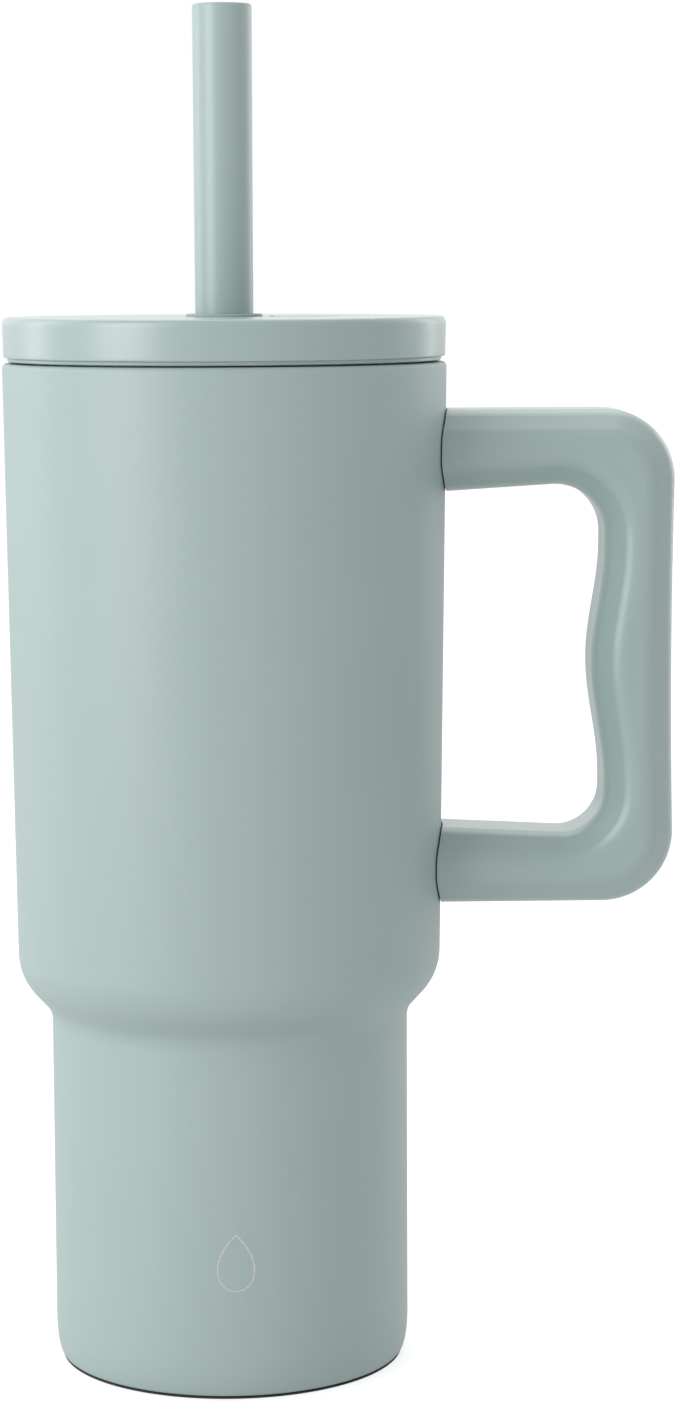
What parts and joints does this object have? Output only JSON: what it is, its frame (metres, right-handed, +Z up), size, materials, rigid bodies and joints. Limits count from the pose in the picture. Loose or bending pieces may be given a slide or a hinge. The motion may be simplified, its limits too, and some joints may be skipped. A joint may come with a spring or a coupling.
{
  "type": "insulated tumbler",
  "caption": "Double-wall vacuum tumbler with a narrow foot, a press-in lid, a straight straw, a flush flip tab and a moulded side handle.",
  "frame": {"origin": "on the cup's axis, on the plane that it stands on", "axes": "+Z up along the cup's axis, +X towards the handle, -Y towards the side that carries the mark"},
  "size_m": [0.141, 0.0932, 0.287],
  "materials": {
    "powder_coat": "matte sage powder coat with a very fine texture",
    "bare_steel": "brushed stainless steel",
    "dark_rubber": "dark matte rubber",
    "handle_plastic": "satin sage moulding",
    "lid_plastic": "satin sage moulding",
    "straw_plastic": "satin sage tube",
    "soft_silicone": "soft sage silicone",
    "clear_silicone": "milky silicone"
  },
  "bodies": {
    "cup": {"outer_shell": "powder_coat", "inner_liner": "bare_steel", "base_plate": "bare_steel", "port_seal": "bare_steel", "getter_capsule": "bare_steel", "foot_pad": "dark_rubber", "handle": "handle_plastic", "upper_bracket": "bare_steel", "lower_bracket": "bare_steel", "upper_handle_screw": "bare_steel", "lower_handle_screw": "bare_steel", "upper_screw_plug": "handle_plastic", "lower_screw_plug": "handle_plastic"},
    "lid": {"lid_cover": "lid_plastic", "lid_insert": "lid_plastic", "lid_gasket": "clear_silicone", "straw_grommet": "soft_silicone", "tab_hinge_pin": "bare_steel"},
    "stopper": {"stopper_tab": "lid_plastic", "stopper_plug": "soft_silicone"},
    "straw": {"straw": "straw_plastic"}
  },
  "joints": [
    {"name": "lid_lift", "type": "slide", "parent": "cup", "child": "lid", "axis": [0, 0, 1], "range_m": [0, 0.235]},
    {"name": "straw_slide", "type": "slide", "parent": "lid", "child": "straw", "axis": [0, 0, 1], "range_m": [0, 0.24]},
    {"name": "stopper_flip", "type": "hinge", "parent": "lid", "child": "stopper", "pos_m": [0.0114, 0, 0.2212], "axis": [0, -1, 0], "range_deg": [0, 100]}
  ]
}
